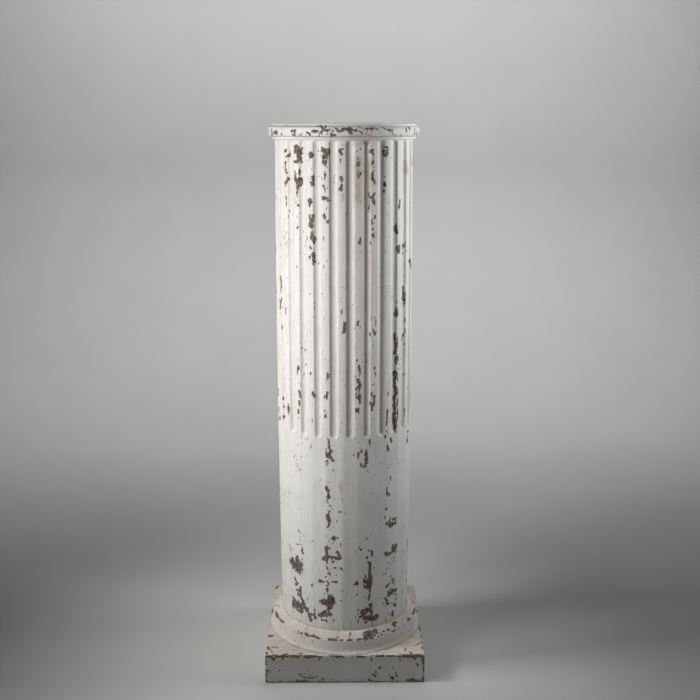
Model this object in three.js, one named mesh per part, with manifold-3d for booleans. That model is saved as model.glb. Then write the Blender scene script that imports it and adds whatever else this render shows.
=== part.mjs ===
// A free-standing pedestal column: square plinth, round base moulding, a shaft of flat staves
// with flutes in its upper part, and a round cap with a bullnose edge.
// Millimetres, +Z up. The origin is the middle of the plinth's underside, and -Y is the front.

import * as THREE from 'three';
import { mergeVertices } from 'three/addons/utils/BufferGeometryUtils.js';
import Module from 'manifold-3d';

// Driving dimensions
const TOTAL_HEIGHT = 1050;
const BOND_LINE = 0.3;

const PLINTH_WIDTH = 305;
const PLINTH_HEIGHT = 56.5;
const PLINTH_EDGE_EASE = 1.5;

const BASE_RING_HEIGHT = 38;
const BASE_RING_SETBACK = 1.8;
const BASE_RING_FOOT_LIP = 1;
const BASE_RING_COVE = 6.4;
const BASE_RING_ARRIS_HEIGHT = 25;
const BASE_RING_ARRIS_EASE = 1.2;
const BASE_RING_BEVEL_SWELL = 1.2;
const BASE_RING_TOP_LIP = 0.8;

const SHAFT_FOOT_RADIUS = 127;
const SHAFT_BELLY_RADIUS = 129.9;
const SHAFT_NECK_RADIUS = 127.9;
const STAVE_COUNT = 27;
const FIRST_ARRIS_DEGREES = -1.6;

const FLUTE_WIDTH = 15;
const FLUTE_DEPTH = 3.8;
const FLUTE_LOWER_END_HEIGHT = 480;
const FLUTE_UPPER_MARGIN = 2.5;

const CAP_HEIGHT = 30;
const CAP_RADIUS = 140;
const CAP_EDGE_THICKNESS = 18.2;
const CAP_EDGE_DEPTH = 7;
const CAP_EDGE_FULLNESS = 2.8;
const CAP_NECK_LIP = 5;
const CAP_NECK_HEIGHT = 4.2;
const CAP_DISC_SETBACK = 6;
const CAP_DISC_EDGE_HEIGHT = 4.6;
const CAP_DISC_EDGE_EASE = 0.6;
const CAP_FLAT_RADIUS = 50;
const CAP_CROWN_POWER = 1.6;

// Fineness of the round forms
const RING_SEGMENTS = 60;
const BULLNOSE_STEPS = 10;
const COVE_STEPS = 4;
const BEVEL_STEPS = 3;
const CROWN_STEPS = 3;
const SHAFT_LEVELS = 8;
const FLUTE_SEGMENTS = 12;
const FLUTE_END_SEGMENTS = 3;
const FLUTE_LEVELS = 4;

// Heights of the joints, worked out from the pieces
const RING_FOOT = PLINTH_HEIGHT + BOND_LINE;
const RING_TOP = RING_FOOT + BASE_RING_HEIGHT;
const SHAFT_FOOT = RING_TOP + BOND_LINE;
const CAP_FOOT = TOTAL_HEIGHT - CAP_HEIGHT;
const SHAFT_TOP = CAP_FOOT - BOND_LINE;

const wasm = await Module();
wasm.setup();

const paint = (color, roughness) => new THREE.MeshStandardMaterial({ color, roughness, metalness: 0 });

const paintedWood = paint(0xe9e6df, 0.62);
const dustyPaint = paint(0xd9cdbb, 0.7);

// Closed geometry with shared vertices, as booleans need it
function welded(geometry) {
  const plain = geometry.index ? geometry.toNonIndexed() : geometry.clone();
  plain.deleteAttribute('normal');
  plain.deleteAttribute('uv');
  return mergeVertices(plain, 1e-4);
}

function solidFrom(geometry) {
  const closed = welded(geometry);
  return new wasm.Manifold(new wasm.Mesh({
    numProp: 3,
    vertProperties: new Float32Array(closed.attributes.position.array),
    triVerts: new Uint32Array(closed.index.array),
  }));
}

function geometryFrom(solid) {
  const cut = solid.getMesh();
  const geometry = new THREE.BufferGeometry();
  geometry.setAttribute('position', new THREE.BufferAttribute(new Float32Array(cut.vertProperties), 3));
  geometry.setIndex(new THREE.BufferAttribute(new Uint32Array(cut.triVerts), 1));
  geometry.computeVertexNormals();
  return geometry;
}

function namedMesh(name, geometry, material) {
  const mesh = new THREE.Mesh(geometry, material);
  mesh.name = name;
  return mesh;
}

// Turns a profile of (radius, height) points about the upright axis
function turned(profile, segments, startAngle = 0) {
  return new THREE.LatheGeometry(profile, segments, startAngle).rotateX(Math.PI / 2);
}

// A quarter of a superellipse from angle a to angle b: fullness 2 is a plain ellipse, more is squarer
function curveThrough(centre, halfWidth, halfHeight, fullness, a, b, steps) {
  const ease = (value) => Math.sign(value) * Math.abs(value) ** (2 / fullness);
  return Array.from({ length: steps + 1 }, (_, i) => {
    const angle = a + ((b - a) * i) / steps;
    return new THREE.Vector2(
      centre.x + halfWidth * ease(Math.cos(angle)),
      centre.y + halfHeight * ease(Math.sin(angle)),
    );
  });
}

// Square block with its upright and level edges eased by the same small amount
function plinthGeometry() {
  const half = PLINTH_WIDTH / 2 - PLINTH_EDGE_EASE;
  const square = new THREE.Shape();
  square.moveTo(-half, -half);
  square.lineTo(half, -half);
  square.lineTo(half, half);
  square.lineTo(-half, half);
  square.closePath();
  return new THREE.ExtrudeGeometry(square, {
    depth: PLINTH_HEIGHT - 2 * PLINTH_EDGE_EASE,
    bevelEnabled: true,
    bevelSize: PLINTH_EDGE_EASE,
    bevelThickness: PLINTH_EDGE_EASE,
    bevelSegments: 2,
  }).translate(0, 0, PLINTH_EDGE_EASE);
}

// Radius to the arrises: a parabola through foot, belly and neck gives the shaft its slight swelling
function shaftRadius(height) {
  const t = (height - SHAFT_FOOT) / (SHAFT_TOP - SHAFT_FOOT);
  const foot = SHAFT_FOOT_RADIUS * (1 - t) * (1 - 2 * t);
  const belly = SHAFT_BELLY_RADIUS * 4 * t * (1 - t);
  const neck = SHAFT_NECK_RADIUS * t * (2 * t - 1);
  return foot + belly + neck;
}

// Base moulding: a cove foot, an upright side, and a slightly swelling bevel up to the shaft
function baseRingGeometry() {
  const footRadius = PLINTH_WIDTH / 2 - BASE_RING_SETBACK;
  const coveCentre = new THREE.Vector2(footRadius, RING_FOOT + BASE_RING_FOOT_LIP + BASE_RING_COVE);
  const hollow = curveThrough(coveCentre, -BASE_RING_COVE, BASE_RING_COVE, 2, -Math.PI / 2, 0, COVE_STEPS);
  const arris = new THREE.Vector2(footRadius - BASE_RING_COVE, RING_FOOT + BASE_RING_ARRIS_HEIGHT);
  const top = new THREE.Vector2(SHAFT_FOOT_RADIUS + BASE_RING_TOP_LIP, RING_TOP);
  const slope = top.clone().sub(arris);
  const outward = new THREE.Vector2(slope.y, -slope.x).normalize();
  const eased = arris.clone().addScaledVector(slope.clone().normalize(), BASE_RING_ARRIS_EASE);
  const bevel = Array.from({ length: BEVEL_STEPS }, (_, i) => {
    const share = (i + 1) / BEVEL_STEPS;
    const swell = BASE_RING_BEVEL_SWELL * 4 * share * (1 - share);
    return eased.clone().lerp(top, share).addScaledVector(outward, swell);
  });
  return turned([
    new THREE.Vector2(0, RING_FOOT),
    new THREE.Vector2(footRadius, RING_FOOT),
    ...hollow,
    new THREE.Vector2(arris.x, arris.y - BASE_RING_ARRIS_EASE),
    eased,
    ...bevel,
    new THREE.Vector2(0, RING_TOP),
  ], RING_SEGMENTS);
}

// One flute's cutter: a round-nosed channel that follows the middle of a stave
function fluteCutter(angle) {
  const radius = (FLUTE_WIDTH ** 2 / 4 + FLUTE_DEPTH ** 2) / (2 * FLUTE_DEPTH);
  const standOff = radius - FLUTE_DEPTH;
  const lower = FLUTE_LOWER_END_HEIGHT + FLUTE_WIDTH / 2;
  const upper = SHAFT_TOP - FLUTE_UPPER_MARGIN - FLUTE_WIDTH / 2;
  const rod = new THREE.CapsuleGeometry(
    radius, upper - lower, FLUTE_END_SEGMENTS, FLUTE_SEGMENTS, FLUTE_LEVELS,
  ).rotateX(Math.PI / 2).translate(0, 0, (lower + upper) / 2);
  const place = rod.attributes.position;
  for (let i = 0; i < place.count; i += 1) {
    const faceDistance = shaftRadius(place.getZ(i)) * Math.cos(Math.PI / STAVE_COUNT);
    place.setY(i, place.getY(i) - faceDistance - standOff);
  }
  return solidFrom(rod.rotateZ(angle));
}

// Shaft of flat staves whose arrises run up the middle of the fillets, with a flute in every stave
function shaftGeometry() {
  const pitch = (2 * Math.PI) / STAVE_COUNT;
  const firstArris = THREE.MathUtils.degToRad(FIRST_ARRIS_DEGREES);
  const side = Array.from({ length: SHAFT_LEVELS + 1 }, (_, i) => {
    const height = SHAFT_FOOT + ((SHAFT_TOP - SHAFT_FOOT) * i) / SHAFT_LEVELS;
    return new THREE.Vector2(shaftRadius(height), height);
  });
  const profile = [new THREE.Vector2(0, SHAFT_FOOT), ...side, new THREE.Vector2(0, SHAFT_TOP)];
  let shaft = solidFrom(turned(profile, STAVE_COUNT, firstArris));
  for (let i = 0; i < STAVE_COUNT; i += 1) {
    shaft = shaft.subtract(fluteCutter(firstArris + (i + 0.5) * pitch));
  }
  return geometryFrom(shaft);
}

// Round cap: a low neck on the shaft, a bullnose edge, and a thin disc that crowns to a flat middle
function capGeometry() {
  const neckRadius = SHAFT_NECK_RADIUS + CAP_NECK_LIP;
  const edgeFoot = CAP_FOOT + CAP_NECK_HEIGHT;
  const centre = new THREE.Vector2(CAP_RADIUS - CAP_EDGE_DEPTH, edgeFoot + CAP_EDGE_THICKNESS / 2);
  const discRadius = CAP_RADIUS - CAP_DISC_SETBACK;
  const discShare = (discRadius - centre.x) / CAP_EDGE_DEPTH;
  const discAngle = Math.acos(discShare ** (CAP_EDGE_FULLNESS / 2));
  const halfThickness = CAP_EDGE_THICKNESS / 2;
  const edge = curveThrough(
    centre, CAP_EDGE_DEPTH, halfThickness, CAP_EDGE_FULLNESS, -Math.PI / 2, discAngle, BULLNOSE_STEPS,
  );
  const rimHeight = edgeFoot + CAP_EDGE_THICKNESS + CAP_DISC_EDGE_HEIGHT;
  const rimRadius = discRadius - CAP_DISC_EDGE_EASE;
  const crown = Array.from({ length: CROWN_STEPS + 1 }, (_, i) => {
    const share = 1 - i / CROWN_STEPS;
    return new THREE.Vector2(
      CAP_FLAT_RADIUS + (rimRadius - CAP_FLAT_RADIUS) * share,
      TOTAL_HEIGHT - (TOTAL_HEIGHT - rimHeight) * share ** CAP_CROWN_POWER,
    );
  });
  return turned([
    new THREE.Vector2(0, CAP_FOOT),
    new THREE.Vector2(neckRadius, CAP_FOOT),
    new THREE.Vector2(neckRadius, edgeFoot),
    ...edge,
    new THREE.Vector2(discRadius, rimHeight - CAP_DISC_EDGE_EASE),
    ...crown,
    new THREE.Vector2(0, TOTAL_HEIGHT),
  ], RING_SEGMENTS);
}

const column = new THREE.Group();
column.add(
  namedMesh('plinth', plinthGeometry(), dustyPaint),
  namedMesh('base_ring', welded(baseRingGeometry()), dustyPaint),
  namedMesh('shaft', shaftGeometry(), paintedWood),
  namedMesh('cap', welded(capGeometry()), paintedWood),
);

export default column;
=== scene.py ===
"""Looks of a free-standing pedestal column in worn white paint over a dark ground.

The four pieces (plinth, base ring, shaft and cap) are grids of points worked out with numpy. Each point
carries the values that its paint reads: wear (how far the paint has gone), dust (how much settled dirt tints
it; on the base ring a band kept clear of it is a painted highlight), grime (thin soiled lines) and, on
plinth and cap, painted_shade (grey painted shade on faces that get less light). Lengths are metres and
angles degrees; angle 0 is the front of the column and positive angles go to the right of it.
"""

import math

import bpy
import numpy as np
from mathutils import Matrix, Vector


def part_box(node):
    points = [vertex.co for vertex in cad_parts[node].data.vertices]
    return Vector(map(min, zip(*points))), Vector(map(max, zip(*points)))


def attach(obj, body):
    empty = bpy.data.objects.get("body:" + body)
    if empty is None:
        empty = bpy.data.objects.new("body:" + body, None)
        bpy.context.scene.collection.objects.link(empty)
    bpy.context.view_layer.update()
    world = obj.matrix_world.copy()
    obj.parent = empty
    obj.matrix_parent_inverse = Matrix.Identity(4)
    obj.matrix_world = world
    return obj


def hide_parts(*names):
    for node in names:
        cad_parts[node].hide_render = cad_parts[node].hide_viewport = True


bl_info = {
    "name": "Worn Pedestal Column",
    "version": (1, 0, 0),
    "blender": (4, 5, 0),
    "location": "3D Viewport > Sidebar > Column",
    "description": "Builds a painted pedestal column with chipped paint, and a plain studio around it",
    "category": "Object",
}

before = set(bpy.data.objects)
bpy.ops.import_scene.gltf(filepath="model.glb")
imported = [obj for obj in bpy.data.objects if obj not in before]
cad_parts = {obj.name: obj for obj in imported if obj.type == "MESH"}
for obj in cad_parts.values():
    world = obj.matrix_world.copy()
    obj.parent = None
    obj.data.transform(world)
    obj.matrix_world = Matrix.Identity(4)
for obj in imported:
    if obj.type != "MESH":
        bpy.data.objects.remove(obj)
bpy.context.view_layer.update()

MM = 0.001

PLINTH_LOW, PLINTH_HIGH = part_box("plinth")
RING_LOW, RING_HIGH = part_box("base_ring")
SHAFT_LOW, SHAFT_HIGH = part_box("shaft")
CAP_LOW, CAP_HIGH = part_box("cap")

# Plinth
PLINTH_EASE = 1.8 * MM
PLINTH_CORNER_RADIUS = 2.2 * MM
PLINTH_SIDE_POINTS = 180

# Shaft. The flutes' heads are nearly square, FLUTE_HEAD tall, and their lower ends round.
SHAFT_FOOT_RADIUS = 127 * MM
SHAFT_BELLY_RADIUS = 129.9 * MM
SHAFT_NECK_RADIUS = 127.9 * MM
STAVE_COUNT = 27
FIRST_ARRIS = -1.6
FLUTE_WIDTH = 15 * MM
FLUTE_DEPTH = 3.8 * MM
FLUTE_LOW = 480 * MM
FLUTE_HEAD_MARGIN = 1 * MM
FLUTE_HEAD = 4 * MM

# Base ring
RING_FOOT_LIP = 1 * MM
RING_SIDE_RADIUS = 144.3 * MM
RING_ARRIS_RISE = 25 * MM
RING_TOP_LIP = 0.8 * MM
RING_BEVEL_SWELL = 1.2 * MM

# Cap
CAP_NECK_LIP = 5 * MM
CAP_NECK_HEIGHT = 4.2 * MM
CAP_EDGE_THICKNESS = 18.2 * MM
CAP_EDGE_DEPTH = 7 * MM
CAP_EDGE_FULLNESS = 2.8
CAP_DISC_RADIUS = 134 * MM
CAP_DISC_EDGE = 4.6 * MM
CAP_FLAT_RADIUS = 50 * MM

# Columns of points round the ring and the cap
ROUND_POINTS = 480

# Small turn and roll of the camera, from the fit to the photo
CAMERA_TURN = math.radians(-0.33)
CAMERA_ROLL = math.radians(-0.04)

# Places where the paint has come off, as strokes from one point to another: (angle, height, angle, height,
# width) in degrees and millimetres. A dot has one point: (angle, height, width).
SHAFT_CHIPS = [
    (-56.3, 999, -53, 1002, 3.5), (-56.5, 998, -55.5, 997, 4), (-52.3, 999, -50.5, 998, 4),
    (-54.5, 994, -51, 989, 4), (-51.5, 990, -50, 988, 3.5), (-54.8, 982, -53, 982, 4.5),
    (-54.8, 980, -54.5, 962, 4), (-54.3, 959, -53, 960, 4.5), (-50.4, 969, 2.8), (-55, 943, -52, 950, 6),
    (-52, 951, -51, 950, 3.5), (-54.3, 920, -54, 912, 3), (-54, 905, 3), (-53, 887, -51.8, 887, 2),
    (-42, 1007, -37.5, 1003, 7), (-41, 1001, -37.5, 998, 10), (-39.5, 993, -38.5, 988, 7), (-40, 984, 2.5),
    (-43, 982, -41.3, 982, 4.5), (-39, 980, -37.8, 978, 3.5), (-37, 985, -36.7, 980, 2.5),
    (-39.8, 963, -37.5, 967, 2.5), (-38, 960, -38.2, 965, 3.5), (-42.8, 965, -42.5, 958, 2.2),
    (-43, 950, -41, 949, 6), (-41, 952, -38, 950, 11), (-40, 945, -37.5, 942, 9),
    (-41, 937, -39.5, 935, 3.5), (-40.2, 930, -40.3, 922, 4.5), (-42.5, 913, -42, 912, 3),
    (-41.5, 911, -40.5, 907, 2.2), (-40, 906, -38.8, 906, 3.6), (-41.5, 888, -40.5, 887, 2.5),
    (-41.2, 882, 2), (-42.5, 866, -41, 868, 3), (-41.3, 867, -39.3, 863, 4), (-39, 862, 2),
    (-28.8, 993, -27, 992, 4.5), (-27.5, 996, -25.2, 994, 5), (-27.5, 989, -25.5, 990, 4),
    (-27.8, 984, 3.6), (-25.2, 958, -25, 942, 4), (-24.8, 950, -24.8, 943, 4), (-28, 944, -27.3, 943, 3.6),
    (-29.3, 917, -26.5, 917, 4), (-28.5, 914, -27, 913, 7), (-28.3, 908, -28, 904, 4),
    (-26.5, 919, -25, 917, 3), (-26, 913, -25, 913, 2.4), (-27.5, 896, 2.4), (-28.7, 889, -28.2, 883, 3.6),
    (-28, 882, -27.4, 880, 3), (-25.2, 888, -25, 882, 3.5), (-28.8, 873, -27, 874, 5),
    (-28, 869, -26, 869, 6), (-26.5, 858, -26, 853, 4.5), (-26.5, 851, -25, 849, 6),
    (-25.3, 847, -25, 841, 5), (-24.8, 852, -24.2, 845, 4), (-27.8, 835, 2.4),
    (-28.5, 831, -27.2, 831, 2.8), (-27.2, 830, -26.3, 827, 3.2), (-26.5, 821, -25, 821, 3),
    (-24.8, 820, -24.8, 806, 4.5), (-28.5, 814, -27.5, 812, 4.8), (-26.5, 811, -25.5, 808, 3),
    (-28.8, 803, 1.8), (-16.8, 1005, -15, 1003, 6), (-16.5, 999, -13.5, 998, 9), (-16.5, 991, -14, 991, 9),
    (-16, 983, -15.3, 982, 8), (-15.2, 977, 3.6), (-14, 996, -12.3, 996, 4), (-13.5, 989, -11.5, 989, 3.5),
    (-12.5, 1003, -11.5, 1001, 3), (-15.4, 960, -15.2, 956, 2.6), (-14.7, 949, 3),
    (-16.8, 942, -16, 938, 3), (-15.9, 938, -15.2, 934, 4), (-15.2, 932, 2.8), (-17, 921, -16.7, 917, 3),
    (-16.5, 921, -13.5, 921, 2.2), (-15.5, 914, 3.8), (-13.3, 921, -13, 915, 3.2),
    (-13, 915, -11, 915, 4.5), (-14, 900, 1.6), (-16, 890, -15, 885, 3.2), (-15.2, 884, -13.5, 881, 3.6),
    (-13.3, 880, -12, 879, 3.4), (-13, 875, 1.8), (-14.9, 862, 2), (-16, 850, 2), (-16.7, 844, -16, 842, 3),
    (-15.7, 841, 2.6), (-13.6, 811, 2), (-3.6, 1001, -2.8, 1001, 3.2), (-1.3, 1004, -0.5, 1004, 3),
    (-3.5, 993, -2, 994, 3), (-2, 995, -0.3, 994, 3.4), (-2.5, 986, -2.3, 982, 3),
    (-2.4, 979, -1.8, 979, 2.6), (-2.2, 964, 1.8), (-2.6, 956, -2.2, 953, 3.4), (-2, 951, -1.2, 950, 3.2),
    (-2, 941, -2.3, 936, 4.4), (-3.8, 935, -2.8, 933, 4), (12.7, 1006, 13.5, 1003, 2.6),
    (10.5, 1000, 10.8, 999, 3), (10.8, 984, 10.8, 982, 2.8), (11, 978, 11.3, 975, 3.4),
    (12, 981, 13.3, 982, 2.4), (10.3, 977, 2.2), (12, 963, 13, 961, 3.2), (10.3, 960, 2), (11.4, 955, 2.8),
    (12.8, 849, 12.6, 843, 3.4), (10.8, 841, 12.5, 841, 2.6), (21.5, 1009, 22.3, 1009, 3), (23, 1012, 2),
    (21.3, 1002, 23.5, 1002, 3.2), (23.4, 1000, 23.5, 992, 4), (22.8, 988, 23.5, 987, 3.4),
    (23.4, 984, 23.5, 978, 3.2), (23.8, 967, 1.8), (22.6, 961, 23.2, 957, 4), (23, 956, 24, 950, 4),
    (24.2, 949, 25.5, 943, 3.2), (25.5, 942, 2.6), (23.5, 939, 24.3, 940, 2.4), (22, 920, 24, 923, 4),
    (24, 924, 25, 925, 3), (22.3, 918, 24, 918, 4), (23.5, 916, 24.6, 911, 3.4), (24.8, 909, 2.2),
    (20.4, 925, 2.4), (20.4, 918, 2), (20.7, 909, 20.7, 900, 2), (24, 888, 25, 887, 2.4),
    (25, 886, 25.6, 883, 2.8), (25.6, 892, 2.2), (22.5, 878, 23, 876, 3), (23.2, 864, 3),
    (22.4, 856, 23.2, 855, 3.4), (23, 854, 23.6, 850, 4), (21.5, 840, 21.8, 838, 3.8),
    (34.8, 1007, 36.5, 1006, 3.4), (36.6, 1008, 37, 1007, 3), (33.5, 1001, 34.5, 1000, 3),
    (36.8, 1003, 36.5, 994, 3), (34, 993, 36, 992, 4.5), (35, 964, 1.8), (33.8, 958, 34.4, 957, 3),
    (34, 947, 2.2), (34.5, 944, 34.9, 941, 4), (34, 930, 34.6, 929, 3.4), (49.5, 922, 51, 922, 2.2),
    (50, 914, 51.3, 910, 2.8), (51.2, 912, 51.2, 903, 3.2), (48.5, 902, 51, 901, 3.4), (50.3, 898, 3.5),
    (46.5, 868, 47, 860, 5), (47, 865, 48, 860, 6), (50.8, 865, 2.6), (48, 856, 50, 853, 3.5),
    (48.5, 829, 51.5, 829, 2.4), (49, 824, 51, 823, 7), (49, 819, 51.5, 818, 3), (50, 813, 2.2),
    (58.5, 829, 60.5, 829, 3), (61.5, 833, 63.5, 832, 2.4), (59, 824, 60.5, 822, 2.2),
    (61, 823, 63.5, 820, 3), (59.3, 815, 3), (-16.2, 797, 2.2), (-14.2, 782, 2.8),
    (-56.5, 718, -56.8, 702, 3), (-2, 749, -2.2, 744, 1.8), (-2, 723, -2, 719, 3),
    (-2.5, 717, -1.8, 712, 3.4), (-1.8, 708, 1.8), (0.5, 699, 0.8, 697, 2.6), (0.6, 696, 0.3, 690, 3),
    (1, 685, 0.3, 682, 2), (-1, 670, 2.6), (11, 697, 11.2, 693, 3.4), (11, 698, 13, 700, 2.6),
    (12.8, 701, 2.4), (13, 691, 2.4), (8, 687, 1.8), (24.5, 723, 3), (25.8, 706, 2.6),
    (25.8, 698, 25.7, 690, 1.8), (25.7, 686, 1.8), (23.7, 682, 24, 678, 3.4), (23.8, 678, 25, 676, 5),
    (25.5, 677, 26, 672, 3.6), (23.7, 672, 23.5, 669, 2.6), (21.5, 674, 2.6), (24, 654, 23.9, 651, 3.4),
    (47.5, 712, 49, 714, 2.8), (47, 706, 49.5, 704, 5), (49, 733, 2.2), (48.8, 728, 2),
    (60, 752, 60.5, 730, 6), (61.5, 720, 61, 716, 4), (61.5, 693, 62, 690, 3), (57, 690, 58, 686, 3),
    (49.3, 668, 2.6), (47.5, 668, 47.3, 656, 3.6), (47.8, 652, 47.6, 636, 3), (49.2, 660, 49.4, 640, 2.2),
    (60, 660, 59.5, 656, 4), (58.5, 648, 61, 645, 3.6), (62, 672, 62, 664, 3), (-40, 637, 2),
    (46.5, 636, 47.5, 632, 4), (-54.5, 530, -54.3, 527, 4), (-54.6, 524, -54.2, 520, 8),
    (-55, 517, -54.8, 513, 3.5), (-53, 510, 2), (-40.8, 614, -41, 608, 2.6), (-41.5, 606, -39.5, 606, 4),
    (-41.3, 602, -41, 596, 3), (-39.8, 582, -39.7, 578, 1.8), (-39.8, 563, -39.5, 555, 3.4),
    (-39.3, 556, -39, 550, 3), (-37.5, 556, -36.8, 556, 2.4), (-41, 542, -40, 543, 3.4),
    (-40.3, 540, -40, 535, 3.4), (-41.8, 528, -41.5, 521, 3.8), (-41, 522, -40.5, 521, 2.4),
    (-42, 513, 1.6), (-41.6, 509, 3.4), (-39.5, 494, 2.4), (-40.5, 499, 1.8), (-28.3, 601, 2.2),
    (-29, 568, 2.6), (-26.5, 564, -25.8, 561, 3.2), (-26, 560, -25, 560, 3.4), (-26, 558, 2.6),
    (-29, 538, 1.8), (-28.7, 503, 2.4), (-28.8, 497, 1.6), (-14.2, 607, -13.6, 602, 3),
    (-13.6, 602, -13.6, 594, 3.6), (-14, 593, 2.8), (-13.8, 577, 1.8), (-13.7, 568, -13.8, 564, 3),
    (-15, 563, -14, 562, 5.5), (-15.6, 558, -14.4, 557, 6), (-15.2, 553, 3.2), (-16.3, 545, 3.2),
    (-16.4, 532, 2.2), (-13.8, 534, 1.6), (-15.2, 525, -15.4, 523, 2.8), (-15.8, 522, -16.2, 521, 2.4),
    (-12.9, 496, 2.4), (-15.5, 485, 2), (10, 628, 10.3, 631, 3), (11.4, 620, 12.2, 612, 3),
    (12.3, 611, 13, 605, 3.4), (13, 604, 12.6, 602, 2.6), (11.5, 595, 10.8, 590, 3.2),
    (10, 591, 11.5, 588, 3.4), (11.5, 590, 12.5, 584, 4), (11.2, 585, 12, 577, 4.5),
    (12.8, 582, 13, 578, 2.8), (9.3, 577, 9.5, 574, 2.2), (11, 575, 12, 566, 3), (12.3, 566, 12.8, 558, 4),
    (12, 560, 12.6, 550, 5), (12.7, 550, 12.6, 547, 3), (9.2, 567, 9, 557, 2.4), (10.5, 540, 9.2, 538, 2.6),
    (8.9, 538, 9.2, 533, 2.6), (9.5, 531, 11, 532, 3), (11.8, 539, 11.6, 533, 2.4), (10.3, 536, 3),
    (12.3, 527, 12.1, 524, 2.6), (24.8, 615, 24.8, 611, 2.6), (26, 601, 25.9, 596, 2), (26, 588, 1.8),
    (24.8, 582, 24.6, 580, 2.8), (26, 572, 1.8), (22.8, 567, 23, 564, 2), (22.7, 561, 22.9, 559, 2.8),
    (25.8, 559, 25, 556, 3.2), (24.3, 557, 25, 552, 4.5), (25, 551, 24.8, 540, 4),
    (21.8, 547, 22.5, 544, 4), (23, 544, 24, 541, 5), (23.3, 536, 23.2, 532, 3.4), (39, 568, 39, 556, 1.8),
    (36.3, 535, 3), (38.5, 530, 38.2, 522, 3), (38, 521, 37.5, 512, 2.8), (38.6, 514, 38.8, 505, 2.6),
    (37.6, 510, 37.3, 500, 2.8), (37.3, 498, 2.8), (37.5, 487, 38.5, 484, 3.2), (48.5, 640, 49, 636, 3),
    (48, 623, 50, 622, 3), (50.5, 618, 3), (47.5, 616, 49, 612, 4), (48.5, 610, 2.8),
    (46.5, 598, 47.5, 594, 5), (48, 595, 48.5, 588, 6), (50, 592, 2.6), (47.5, 590, 48, 586, 5),
    (49, 582, 50, 580, 3), (47, 580, 47, 570, 4), (47.3, 566, 49, 560, 6), (48, 560, 48.3, 552, 6),
    (50, 556, 50.5, 554, 2.8), (47.3, 552, 47.2, 544, 5), (48.5, 545, 2.4), (50.3, 542, 50.3, 536, 3.6),
    (47, 540, 47, 530, 4), (50, 533, 2.6), (47.5, 527, 49, 524, 3.4), (50.5, 524, 50.8, 512, 2.6),
    (48.5, 520, 49, 516, 3.6), (47, 520, 47, 508, 3.2), (50.5, 510, 50.2, 505, 2.8),
    (48.5, 506, 49, 500, 3.2), (49.5, 500, 50.5, 498, 3), (47, 505, 47, 495, 4), (48, 494, 50, 490, 3.4),
    (47.5, 492, 48, 482, 4), (48.5, 479, 3.2), (59, 520, 62, 519, 2), (62, 517, 62.5, 505, 3), (61, 584, 3),
    (-13.2, 480, -12.3, 462, 3), (-13, 473, -12.5, 466, 3.5), (-12.2, 461, -11, 455, 4),
    (-11.5, 458, -9.8, 455, 4.5), (-11.5, 453, -13, 447, 4), (-14.3, 446, -11, 444, 5.5),
    (-11, 443, -8.8, 443, 4), (-11, 441, -9.8, 437, 5), (-15.6, 458, -15, 447, 2.2),
    (-15.7, 438, -15.6, 430, 1.8), (-15, 437, -13.5, 436, 1.8), (-13.3, 435, -13.4, 429, 1.8),
    (-14.8, 429, -13.6, 429, 1.6), (-10.7, 430, 2.2), (-9.2, 420, -8.2, 417, 3), (-8, 416, -7.7, 411, 2.5),
    (-14.5, 416, 1.8), (-33.5, 473, -32, 473, 1.8), (-30, 463, -30, 452, 1.8), (-47.8, 457, 2),
    (-39.3, 437, 3), (-43, 438, 2), (-46, 437, 2.2), (-49, 441, 2), (-48, 431, 2.5), (-44.5, 429, 2.5),
    (-44, 418, 2.2), (-42.5, 415, 1.8), (-40.5, 411, 1.6), (-33, 442, 1.6), (-29, 477, 2.2),
    (-13.5, 395, 2.5), (-12, 391, 2), (-15.2, 384, -13.8, 376, 4.5), (-13.6, 378, -13.2, 364, 4.8),
    (-14.2, 366, -14.5, 358, 3.6), (-8.5, 364, 2.2), (-12.8, 340, -12.8, 337, 2.6), (-3.8, 336, 3.6),
    (-14.2, 332, -13.6, 322, 4), (-13.6, 325, -13.3, 316, 7), (-13.2, 316, -13.4, 308, 4), (-6, 318, 3.4),
    (-9.8, 306, 3), (-15.5, 307, 2), (-18.8, 318, 2), (-12, 300, 2.4), (13.9, 457, 14, 454, 5),
    (12.8, 456, 11.7, 450, 3.6), (11.6, 450, 11.5, 445, 3.2), (7.8, 449, 2.6), (18.3, 456, 18.3, 448, 4),
    (18, 448, 18, 436, 5), (18.8, 441, 19, 430, 3.5), (17.8, 436, 17.8, 428, 6), (16, 424, 19, 425, 4),
    (13, 430, 14, 429, 3.4), (14, 427, 2.8), (13.2, 431, 14.8, 429, 2.4), (19.5, 420, 2.8),
    (12.8, 404, 1.8), (21.4, 474, 21.6, 468, 4.2), (36.3, 479, 36.2, 473, 4.2), (42.2, 470, 43.5, 464, 5),
    (38.2, 457, 39.5, 449, 5), (11.8, 474, 1.8), (42.3, 419, 2.4), (39.8, 414, 2),
    (42.3, 395, 42.8, 390, 3.4), (40, 384, 41, 382, 3), (43.5, 383, 2.2), (41, 378, 2.8),
    (38.2, 376, 38.3, 367, 3.4), (38.3, 365, 39.5, 361, 4.2), (40, 360, 42, 358, 3), (44.3, 344, 2.6),
    (36, 335, 39.3, 333, 3.4), (35.8, 318, 36.8, 315, 2.8), (-50, 213, -45, 215, 24),
    (-46, 228, -45, 230, 7), (-43, 216, -41.5, 217, 9), (-46, 204, -43, 202, 9), (-43, 198, -42.5, 197, 4),
    (-49.5, 184, -48, 178, 5), (-47.5, 176, -45, 175, 4), (-48.5, 171, -46.5, 171, 4),
    (-42.5, 169, -42.3, 164, 4), (-46, 161, -42.5, 158, 7), (-45, 153, -41.5, 153, 9),
    (-41, 152, -40.5, 146, 5), (-50, 130, -42, 129, 20), (-40, 142, -38.5, 134, 7),
    (-39.5, 130, -36, 128, 9), (-36, 127, -33.8, 127, 5), (-46, 118, -42, 117, 5),
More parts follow.
